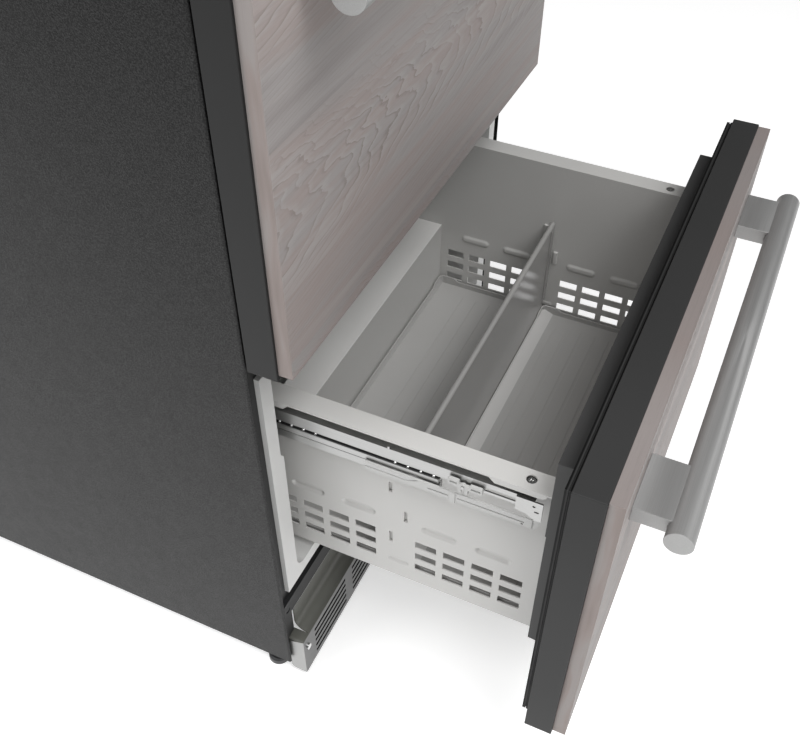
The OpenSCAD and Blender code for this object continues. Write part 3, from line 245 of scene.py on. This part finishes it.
class Paint:
    """A material with one Principled shader, and fields measured in the row frame."""

    def __init__(self, name, colour, roughness, metallic=0.0, specular=0.5):
        self.material = bpy.data.materials.new(name)
        self.material.use_nodes = True
        self.tree = self.material.node_tree
        self.shader = self.tree.nodes["Principled BSDF"]
        self.set("Base Color", (*colour, 1.0))
        self.set("Roughness", roughness)
        self.set("Metallic", metallic)
        self.set("Specular IOR Level", specular)
        self.material.diffuse_color = (*colour, 1.0)

    def set(self, name, value):
        self.shader.inputs[name].default_value = value

    def link(self, name, field):
        self.tree.links.new(field.socket, self.shader.inputs[name])

    def place(self):
        """The surface's place in the row frame, as three fields."""
        coords = self.tree.nodes.new("ShaderNodeTexCoord")
        split = self.tree.nodes.new("ShaderNodeSeparateXYZ")
        self.tree.links.new(coords.outputs["Object"], split.inputs[0])
        return [Field(self.tree, split.outputs[k]) for k in range(3)]

    def vector(self, x, y, z):
        n = self.tree.nodes.new("ShaderNodeCombineXYZ")
        for k, part in enumerate((x, y, z)):
            if isinstance(part, Field):
                self.tree.links.new(part.socket, n.inputs[k])
            else:
                n.inputs[k].default_value = part
        return Field(self.tree, n.outputs[0])

    def noise(self, vector, scale=1.0, detail=2.0, roughness=0.5):
        n = self.tree.nodes.new("ShaderNodeTexNoise")
        self.tree.links.new(vector.socket, n.inputs["Vector"])
        n.inputs["Scale"].default_value = scale
        n.inputs["Detail"].default_value = detail
        n.inputs["Roughness"].default_value = roughness
        return Field(self.tree, n.outputs["Fac"])

    def cells(self, vector, scale):
        n = self.tree.nodes.new("ShaderNodeTexVoronoi")
        self.tree.links.new(vector.socket, n.inputs["Vector"])
        n.inputs["Scale"].default_value = scale
        return Field(self.tree, n.outputs["Distance"])

    def ramp(self, field, stops):
        n = self.tree.nodes.new("ShaderNodeValToRGB")
        self.tree.links.new(field.socket, n.inputs["Fac"])
        elements = n.color_ramp.elements
        while len(elements) < len(stops):
            elements.new(0.5)
        for element, (at, colour) in zip(elements, stops):
            element.position = at
            element.color = (*colour, 1.0)
        return Field(self.tree, n.outputs["Color"])

    def mix(self, factor, a, b):
        n = self.tree.nodes.new("ShaderNodeMix")
        n.data_type = "RGBA"
        self.tree.links.new(factor.socket, n.inputs["Factor"])
        for name, colour in (("A", a), ("B", b)):
            socket = next(s for s in n.inputs if s.name == name and s.type == "RGBA")
            if isinstance(colour, Field):
                self.tree.links.new(colour.socket, socket)
            else:
                socket.default_value = (*colour, 1.0)
        return Field(self.tree, next(s for s in n.outputs if s.type == "RGBA"))

    def bump(self, field, height, strength=1.0):
        n = self.tree.nodes.new("ShaderNodeBump")
        n.inputs["Strength"].default_value = strength
        n.inputs["Distance"].default_value = height
        self.tree.links.new(field.socket, n.inputs["Height"])
        self.tree.links.new(n.outputs["Normal"], self.shader.inputs["Normal"])


def shade(colour, factor):
    """A colour made lighter or darker."""
    return tuple(min(1.0, c * factor) for c in colour)


# ---------------------------------------------------------------- materials

def plain(name, colour, roughness, metallic=0.0, specular=0.5):
    """Moulded or painted: a little unevenness in tone, gloss and surface."""
    p = Paint(name, colour, roughness, metallic, specular)
    x, y, z = p.place()
    here = p.vector(x, y, z)
    clouds = p.noise(here, 7.0, 2.0)
    p.link("Base Color", p.mix(clouds.span(0.2, 0.8), shade(colour, 0.975), shade(colour, 1.025)))
    p.link("Roughness", clouds.span(0.1, 0.9, roughness - 0.02, roughness + 0.02))
    p.bump(p.noise(here, 900.0, 2.0), 0.00004, 0.2)
    return p.material


def powder_coat(name, colour):
    """Orange-peel powder coat, with a grain of about a millimetre."""
    p = Paint(name, colour, 0.45, 0.0, 0.34)
    x, y, z = p.place()
    here = p.vector(x, y, z)
    grain = p.noise(here, 900.0, 3.0, 0.62)
    cells = p.cells(here, 700.0)
    p.link("Base Color", p.mix(grain.span(0.38, 0.66), shade(colour, 0.65), shade(colour, 1.5)))
    p.link("Roughness", p.noise(here, 60.0, 2.0).span(0.2, 0.8, 0.44, 0.48))
    p.link("Specular IOR Level", grain.span(0.38, 0.66, 0.22, 0.44))
    p.bump(grain + cells * 0.6, 0.0005, 0.45)
    return p.material


def brushed(name, colour, roughness, along, depth=0.3, metallic=1.0):
    """Brushed or drawn steel, with fine lines along one axis (0, 1 or 2)."""
    p = Paint(name, colour, roughness, metallic)
    scales = [1400.0, 1400.0, 1400.0]
    scales[along] = 9.0
    axes = p.place()
    lines = p.noise(p.vector(*(a * s for a, s in zip(axes, scales))), 1.0, 3.0, 0.6)
    clouds = p.noise(p.vector(*axes), 14.0, 2.0)
    p.link("Base Color", p.mix(lines.span(0.3, 0.7), shade(colour, 0.94), shade(colour, 1.05)))
    p.link("Roughness", (lines * 0.16 + clouds * 0.08).span(0.02, 0.22, roughness - 0.05, roughness + 0.05))
    p.set("Anisotropic", 0.5)
    p.bump(lines, 0.00003, depth)
    return p.material


def wood(name, along, across, tone=1.0, figure=1.0):
    """Grey ash veneer: planks with nested arches, straight lines beside them, and fine fibres."""
    p = Paint(name, shade((0.32, 0.29, 0.28), tone), 0.6, 0.0, 0.3)
    axes = p.place()
    u = axes[along]
    v = axes[across]
    depth = axes[3 - along - across]
    plank = ((v - PLANK_START) / PLANK).floor()
    vp = ((v - PLANK_START) / PLANK).fract() * PLANK - ARCH_AXIS
    slow = p.noise(p.vector(u * 2.4 + plank * 7.3, vp * 6.0, plank * 3.0), 1.0, 1.0)
    wave = p.noise(p.vector(u * 14.0 + plank * 5.1, vp * 48.0, plank * 2.0), 1.0, 1.0)
    jag = p.noise(p.vector(u * 85.0, vp * 260.0, plank), 1.0, 1.0)
    bent = vp + (slow - 0.5) * 0.034 + (wave - 0.5) * 0.012 + (jag - 0.5) * 0.0030
    ring = bent * bent * 1300.0 + (u + (wave - 0.5) * 0.10 + (jag - 0.5) * 0.014) * 30.0
    step = ring.fract()
    far = (bent * bent).root().span(0.020, 0.065)
    band = p.noise(p.vector(u * 1.6, v * 40.0, plank), 1.0, 2.0)
    weight = p.noise(p.vector(u * 5.0, bent * 45.0, plank), 1.0, 1.0)
    streaks = p.noise(p.vector(u * 3.5, v * 300.0, depth * 300.0), 1.0, 3.0, 0.6)
    fibres = p.noise(p.vector(u * 26.0, v * 1100.0, depth * 1100.0), 1.0, 3.0, 0.7)
    pores = p.noise(p.vector(u * 80.0, v * 2400.0, depth * 2400.0), 1.0, 1.0)
    stops = ((0.30, (0.282, 0.260, 0.254)), (0.44, (0.335, 0.314, 0.308)),
             (0.57, (0.338, 0.290, 0.276)), (0.74, (0.392, 0.372, 0.366)))
    base = p.ramp(band, [(at, shade(colour, tone)) for at, colour in stops])
    pale = p.mix(step.span(0.05, 0.45, 0.35, 0.0) * far.span(0.0, 1.0, 1.0, 0.3) * figure, base,
                 shade((0.42, 0.40, 0.395), tone))
    lines = step.span(0.60, 0.99).power(3.0) * weight.span(0.35, 0.65, 0.14, 0.66)
    lines = lines * far.span(0.0, 1.0, 1.0, 0.45)
    ringed = p.mix(lines * figure, pale, shade((0.195, 0.160, 0.145), tone))
    lined = p.mix(streaks.span(0.48, 0.74, 0.0, 0.32), ringed, shade((0.245, 0.216, 0.206), tone))
    fibred = p.mix(fibres.span(0.50, 0.85, 0.0, 0.30), lined, shade((0.235, 0.205, 0.194), tone))
    p.link("Base Color", p.mix(pores.span(0.60, 0.80, 0.0, 0.16), fibred, shade((0.15, 0.13, 0.12), tone)))
    p.link("Roughness", fibres.span(0.2, 0.8, 0.54, 0.66))
    p.bump(fibres * 0.6 + streaks * 0.3 + pores * 0.4, 0.00004, 0.22)
    return p.material


def wood_edge():
    """The edge band: a pinker tone in soft long blotches, with upright fibres."""
    p = Paint("ash_edge_band", (0.30, 0.26, 0.245), 0.6, 0.0, 0.25)
    x, y, z = p.place()
    drift = p.noise(p.vector(x * 8.0, y * 8.0, z * 7.0), 1.0, 1.0)
    blotches = p.noise(p.vector(x * 40.0, (y + drift * 0.02) * 75.0, z * 8.0), 1.0, 2.0, 0.55)
    fibres = p.noise(p.vector(x * 1500.0, y * 1500.0, z * 30.0), 1.0, 2.0, 0.6)
    base = p.ramp(blotches, [(0.34, (0.262, 0.222, 0.208)), (0.48, (0.300, 0.256, 0.242)),
                             (0.60, (0.318, 0.290, 0.280))])
    p.link("Base Color", p.mix(fibres.span(0.5, 0.85, 0.0, 0.22), base, (0.20, 0.175, 0.165)))
    p.bump(fibres, 0.00004, 0.2)
    return p.material


def gasket(name, low, high):
    """Black rubber between y = low and high: painted shade for two deep folds, with a slightly lighter bead
    between them.
    """
    p = Paint(name, (0.012, 0.012, 0.012), 0.6, 0.0, 0.2)
    x, y, z = p.place()
    across = (y - low) / (high - low)
    unshaded_bead = across.span(0.24, 0.34) * across.span(0.66, 0.76, 1.0, 0.0)
    # painted shade: the two folds are darkened and the bead between them keeps the lighter rubber tone
    p.link("Base Color", p.mix(unshaded_bead, (0.0015, 0.0015, 0.0015), (0.030, 0.030, 0.030)))
    p.link("Roughness", p.noise(p.vector(x, y, z), 30.0).span(0.2, 0.8, 0.56, 0.66))
    return p.material


def make_materials():
    """One look for each material slot, and for the faces that stand out from their piece, among them lit and
    shaded copies that paint light and shade.
    """
    steel = (0.37, 0.37, 0.366)
    return {
        "wrapper": powder_coat("powder_coat_charcoal", (0.0060, 0.0060, 0.0061)),
        "frame": plain("frame_dark", (0.012, 0.012, 0.0125), 0.5, 0.0, 0.38),
        "liner": plain("liner_white", (0.66, 0.66, 0.65), 0.32),
        "foam": plain("foam", (0.74, 0.66, 0.42), 0.9),
        "zinc": brushed("zinc_sheet", (0.45, 0.46, 0.47), 0.45, 0),
        "stainless": brushed("satin_stainless", steel, 0.40, 0),
        "toe_plate": plain("toe_plate_olive", (0.105, 0.106, 0.094), 0.36),
        "handle": brushed("handle_satin", (0.41, 0.41, 0.407), 0.52, 0, 0.3, 0.66),
        "grille_front": brushed("grille_shaded", (0.15, 0.15, 0.15), 0.42, 0),
        # slot_black is painted shade: the insides of the grille's slots, the toe plate's back faces and the
        # dark sheet behind the grille
        "slot_black": plain("slot_black", (0.006, 0.006, 0.006), 0.7, 0.0, 0.1),
        # painted light: a lighter copy of the mat grey for the front mat's band beside the divider
        "mat_lit_band": plain("mat_painted_ramp_light", (0.62, 0.613, 0.60), 0.34),
        # painted light: a lighter copy of the door's dark grey for its upward faces
        "door_top": plain("door_top_painted_light", (0.030, 0.0302, 0.0302), 0.5, 0.0, 0.4),
        # painted light: a brighter copy of the box paint for the shelf's upward face
        "shelf": plain("shelf_painted_light", (0.80, 0.793, 0.775), 0.34),
        "plug": plain("plug_dark", (0.042, 0.042, 0.042), 0.5, 0.0, 0.4),
        "screw": brushed("screw_steel", (0.80, 0.80, 0.79), 0.2, 2),
        "leg": plain("leg_dark", (0.035, 0.035, 0.037), 0.4),
        "machine_black": plain("machine_black", (0.02, 0.02, 0.022), 0.4),
        "fan_dark": plain("fan_dark", (0.03, 0.03, 0.032), 0.5),
        "fan_light": plain("fan_light", (0.72, 0.72, 0.70), 0.5),
        "fin": brushed("fin_aluminium", (0.68, 0.69, 0.70), 0.35, 2),
        "door": plain("door_dark", (0.0135, 0.0137, 0.0137), 0.5, 0.0, 0.32),
        "box": plain("box_paint", (0.565, 0.56, 0.545), 0.34),
        "mat": plain("mat_grey", (0.44, 0.435, 0.425), 0.34),
        "divider": plain("divider_grey", (0.34, 0.335, 0.327), 0.2),
        "rail": brushed("rail_steel", (0.45, 0.45, 0.445), 0.32, 1),
        "cage": plain("cage_black", (0.015, 0.015, 0.015), 0.4),
        "ball": brushed("ball_steel", (0.85, 0.85, 0.85), 0.12, 1, 0.05),
        "lever": plain("lever_white", (0.50, 0.50, 0.49), 0.4),
        "panel": plain("panel_black", (0.02, 0.02, 0.022), 0.2),
        "wood": wood("ash_veneer", 0, 2),
        "wood_top": wood("ash_veneer_top", 0, 2, 0.72, 0.0),
        "wood_edge": wood_edge(),
    }


# ---------------------------------------------------------------- pieces from the frame's nodes

def clean_copy(node):
    """A CAD node's mesh with its flat faces made whole, as a bmesh."""
    bm = bmesh.new()
    bm.from_mesh(nodes[node].data)
    bmesh.ops.remove_doubles(bm, verts=bm.verts, dist=2e-6)
    bmesh.ops.dissolve_limit(bm, angle_limit=math.radians(0.4), verts=bm.verts, edges=bm.edges)
    return bm


def sharp_edges(bm, least=32.0):
    """The edges between two faces that meet at more than least degrees."""
    limit = math.radians(least)
    return [e for e in bm.edges if len(e.link_faces) == 2 and e.calc_face_angle(0.0) > limit]


def round_off(bm, edges, width, segments, clamp=True):
    """Rounds the given edges of a bmesh."""
    if edges:
        bmesh.ops.bevel(bm, geom=edges, offset=width, segments=segments, profile=0.5, affect="EDGES",
                        offset_type="OFFSET", clamp_overlap=clamp)


def stand_in(node, bm):
    """Puts a finished bmesh in the scene in a node's place, with clean shading."""
    for edge in bm.edges:
        edge.smooth = len(edge.link_faces) != 2 or edge.calc_face_angle(0.0) < math.radians(40)
    mesh = bpy.data.meshes.new(node + "_finished")
    bm.to_mesh(mesh)
    bm.free()
    for face in mesh.polygons:
        face.use_smooth = True
    piece = bpy.data.objects.new(node + "_finished", mesh)
    scene.collection.objects.link(piece)
    mesh.materials.append(mats[look_of(node)])
    normals = piece.modifiers.new("normals", "WEIGHTED_NORMAL")
    normals.mode = "FACE_AREA"
    normals.weight = 50
    normals.keep_sharp = True
    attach(piece, nodes[node]["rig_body"])
    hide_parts(node)
    return piece


def softened(node, width):
    """Stands a copy of a node with all its sharp edges rounded in for it."""
    bm = clean_copy(node)
    round_off(bm, sharp_edges(bm), width, 3)
    return stand_in(node, bm)


def open_oval(bm, side, wall, oval, depth, grow):
    """Takes an oval's stepped form out of one face of a side wall, and grows the opening a little.

    side is 1 for the right wall, wall is the face's |x|, and oval is its middle, length and height."""
    y, z, length, height = oval
    half_run = (length - height) / 2
    low, high = sorted((wall, wall - depth))
    picked = set()
    for face in bm.faces:
        c = face.calc_center_median()
        x = side * c.x
        off_walls = min(abs(x - WALL_INNER * MM), abs(x - WALL_OUTER * MM))
        if low - 0.05 * MM < x < high and off_walls > 0.02 * MM:
            if abs(c.y - y) < length * 0.5 + MM and abs(c.z - z) < height * 0.5 + MM:
                picked.add(face)
    rim = {v for face in picked for v in face.verts if abs(side * v.co.x - wall) < 0.02 * MM}
    for v in rim:
        middle = Vector((v.co.x, y + max(-half_run, min(half_run, v.co.y - y)), z))
        v.co = middle + (v.co - middle).normalized() * (height / 2 + grow)
    bmesh.ops.delete(bm, geom=list(picked), context="FACES")


def press_oval(bm, side, wall, oval, depth, grow, facing):
    """Closes an opened oval with the soft form that a press leaves; facing is the sign of its normal's x."""
    y, z, length, height = oval
    half_run = (length - height) / 2
    grown = height / 2 + grow
    steps = 9
    turns = 12
    rings = []
    for k in range(steps + 1):
        share = k / steps
        r = max(grown * (1.0 - share), 0.02 * MM)
        lift = depth * math.sin(min(1.0, share * 1.35) * math.pi / 2) ** 2
        ring = []
        for end in (0, 1):
            middle = y + (1 - 2 * end) * half_run
            for t in range(turns + 1):
                a = math.pi * (t / turns - 0.5 + end)
                place = (side * (wall - lift), middle + r * math.cos(a), z + r * math.sin(a))
                ring.append(bm.verts.new(place))
        rings.append(ring)
    for outer, inner in zip(rings, rings[1:]):
        for t in range(len(outer)):
            u = (t + 1) % len(outer)
            quad = (outer[t], outer[u], inner[u], inner[t])
            bm.faces.new(quad if facing > 0 else quad[::-1])
    bm.faces.new(rings[-1] if facing > 0 else rings[-1][::-1])


def box_side(drawer, side):
    """A side wall: pressed ovals and guides with soft shoulders, and narrow rounded edges elsewhere."""
    node = drawer + "_box_" + side + "_side"
    top = DOOR_TOP[drawer]
    bm = clean_copy(node)
    near = 0.06 * MM

    def loop(x_mm, low, high):
        """Sharp edges in the plane at x_mm whose height is between low and high, from the door's top."""
        found = []
        for edge in sharp_edges(bm):
            u, v = (vert.co for vert in edge.verts)
            if all(abs(abs(w.x) - x_mm * MM) < near and low < (w.z - top) / MM < high for w in (u, v)):
                found.append(edge)
        return found

    front = BOX_FRONT * MM + TRAVEL[drawer]
    toward = 1 if side == "right" else -1
    faces = []
    for y, down, length, height, depth in OVALS:
        middle = (front + y * MM, top + down * MM)
        raised = (*middle, length * MM, height * MM)
        hollow = (*middle, (length - HOLLOW_SMALLER) * MM, (height - HOLLOW_SMALLER) * MM)
        stepped = depth * MM
        faces.append((WALL_INNER * MM, raised, stepped, stepped, INNER_GROWTH * MM, -toward))
        faces.append((WALL_OUTER * MM, hollow, stepped, OUTER_DEEPER * stepped, OUTER_GROWTH * MM, toward))
    for wall, oval, stepped, pressed, grow, facing in faces:
        open_oval(bm, toward, wall, oval, stepped, grow)
    for wall, oval, stepped, pressed, grow, facing in faces:
        press_oval(bm, toward, wall, oval, pressed, grow, facing)
    round_off(bm, loop(GUIDE_INNER, *GUIDE_HEIGHTS), 1.0 * MM, 3, False)
    small = [e for e in sharp_edges(bm, 50) if e.calc_length() > 0.3 * MM or
             abs((e.verts[0].co.z + e.verts[1].co.z) / 2 - top) < 0.1]
    round_off(bm, small, 0.2 * MM, 2)
    return stand_in(node, bm)


def extruded(name, outlines, along, low, high, look, owner):
    """A new piece on owner's body: closed outlines, drawn in the two other axes, pulled along one axis."""
    bm = bmesh.new()
    for outline in outlines:
        ends = []
        for t in (low, high):
            ring = []
            for a, b in outline:
                place = [a, b]
                place.insert(along, t)
                ring.append(bm.verts.new(place))
            ends.append(ring)
        count = len(outline)
        for k in range(count):
            m = (k + 1) % count
            bm.faces.new((ends[0][k], ends[0][m], ends[1][m], ends[1][k]))
        bm.faces.new(ends[0][::-1])
        bm.faces.new(ends[1])
    bmesh.ops.recalc_face_normals(bm, faces=bm.faces)
    mesh = bpy.data.meshes.new(name)
    bm.to_mesh(mesh)
    bm.free()
    mesh.materials.append(mats[look])
    piece = bpy.data.objects.new(name, mesh)
    scene.collection.objects.link(piece)
    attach(piece, nodes[owner]["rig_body"])
    return piece


def finish_toe_grille():
    """The grille's folded end tabs, and a dark pleated sheet that closes its slots from behind, standing in
    for the shade behind them.
    """
    low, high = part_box("toe_grille")
    tab = [(0.0002, -0.0020), (0.0005, -0.0010), (0.0011, -0.0004), (0.0022, -0.0001), (0.0145, -0.0001),
           (0.0145, -0.0012), (0.0024, -0.0012), (0.0014, -0.0020)]
    tabs = [[(side * (high.x - x), high.z + z) for x, z in tab] for side in (-1, 1)]
    extruded("toe_grille_end_tabs", tabs, 1, low.y + 0.0013, high.y - 0.0002, "toe_plate", "toe_grille")
    # painted shade: a dark sheet put behind the slots where there is only shade
    pleats = 150
    wide = high.x - 0.0035
    valley, crest, sheet = 0.0022, 0.0016, 0.0004
    wave = []
    for k in range(pleats + 1):
        wave.append((wide * (2.0 * k / pleats - 1.0), low.y + (crest if k % 2 else valley)))
    shade_sheet = wave + [(x, y + sheet) for x, y in wave[::-1]]
    pan_below, pan_above = 0.0296, 0.0319
    for name, bottom, top in (("low", low.z + 0.0035, pan_below), ("high", pan_above, high.z - 0.004)):
        extruded("toe_grille_shade_sheet_" + name, [shade_sheet], 2, bottom, top, "slot_black", "toe_grille")


def recolour(o, look, wanted):
    """Gives the faces that wanted picks, by middle and normal, another material."""
    o.data.materials.append(mats[look])
    index = len(o.data.materials) - 1
    for face in o.data.polygons:
        if wanted(face.center, face.normal):
            face.material_index = index


def look_of(node):
    """The name of a node's look: its material slot, or a look of its own."""
    if node.endswith("_gasket"):
        return node
    for ending, look in (("_divider", "divider"), ("_handle_bar", "handle"), ("_handle_posts", "handle"),
                         ("_door_liner", "plug")):
        if node.endswith(ending):
            return look
    return slots[node]


def finish_node(node):
    """Gives a CAD node its own material."""
    o = nodes[node]
    o.data.materials.clear()
    o.data.materials.append(mats[look_of(node)])


def finish_skin(drawer, part):
    """A drawer's piece with its edges rounded, and other looks where its faces need them: painted light on the
    front mat's band by the divider, the door's top and the shelf.
    """
    skin = softened(drawer + "_" + part, ROUNDED[part] * MM)
    top = DOOR_TOP[drawer]
    if part == "wood_panel":
        recolour(skin, "wood_edge", lambda c, n: abs(n.x) > 0.7)
        recolour(skin, "wood_top", lambda c, n: n.z > 0.7)
    if part == "front_mat":
        bay = nodes[drawer + "_divider"]
        low_verts = (v for v in bay.data.vertices if v.co.z < top - 0.2)
        near = max((bay.matrix_world @ v.co).y for v in low_verts)
        # painted light on the front mat's upward faces near the divider, where its sloped rim catches the
        # light
        recolour(skin, "mat_lit_band", lambda c, n: n.z > 0.7 and abs(c.y - near) < 0.0165)
    if part == "door_body":
        # painted light on the door body's upward faces
        recolour(skin, "door_top", lambda c, n: n.z > 0.7)
    if part == "box_pan":
        shelf = top + SHELF_TOP * MM
        # painted light on the box pan's shelf top
        recolour(skin, "shelf", lambda c, n: n.z > 0.9 and abs(c.z - shelf) < 0.007)


def finish_slides(drawer):
    """The white strips on the drawer's rails, and the polished balls in their cages."""
    strip_top = DOOR_TOP[drawer] + STRIP_TOP * MM
    recolour(nodes[drawer + "_drawer_rails"], "lever",
             lambda c, n: abs(c.x) > STRIP_X * MM and c.z < strip_top)

    def on_ball(c, n):
        off_row = abs(abs(abs(c.x) - SLIDE_X * MM) - BALL_ROW * MM)
        return off_row < BALL_REACH * MM and 0.02 < abs(n.y) < 0.98

    for cage in ("inner", "outer"):
        recolour(nodes[drawer + "_" + cage + "_cages"], "ball", on_ball)


def finish_toe():
    """The grille's slots darkened inside as painted shade, its shaded front and dark top, and the plate above
    it with painted shade on its back faces and a painted highlight along its top edge.
    """
    low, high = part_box("toe_grille")
    grille = nodes["toe_grille"]
    plate = nodes["toe_plate"]
    end, rim = 0.012, 0.006
    # painted shade inside the grille's slots
    recolour(grille, "slot_black", lambda c, n: n.y > -0.7 and abs(c.x) < high.x - end
             and low.z + rim < c.z < high.z - rim)
    recolour(grille, "grille_front", lambda c, n: n.y < -0.7)
    recolour(grille, "toe_plate", lambda c, n: n.z > 0.5 and c.z > high.z - rim)
    # painted shade on the toe plate's back faces, in the gap behind it
    recolour(plate, "slot_black", lambda c, n: n.y > 0.3)
    plate_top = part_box("toe_plate")[1].z
    # painted highlight: the toe plate's top edge gets the white liner look
    recolour(plate, "liner", lambda c, n: n.z > 0.9 and c.z > plate_top - 0.0005)
    finish_toe_grille()


# ---------------------------------------------------------------- the scene

make_camera()
slots = {s["node"]: s["material_slot"] for s in frame["record"]["subparts"]}
mats = make_materials()
for drawer in DRAWERS:
    low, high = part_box(drawer + "_gasket")
    mats[drawer + "_gasket"] = gasket(drawer + "_gasket_fold_shade", low.y, high.y)
make_studio()
make_floor()
for name in nodes:
    finish_node(name)
for drawer in DRAWERS:
    for part in ROUNDED:
        finish_skin(drawer, part)
    for side in SIDES:
        box_side(drawer, side)
    finish_slides(drawer)
finish_toe()
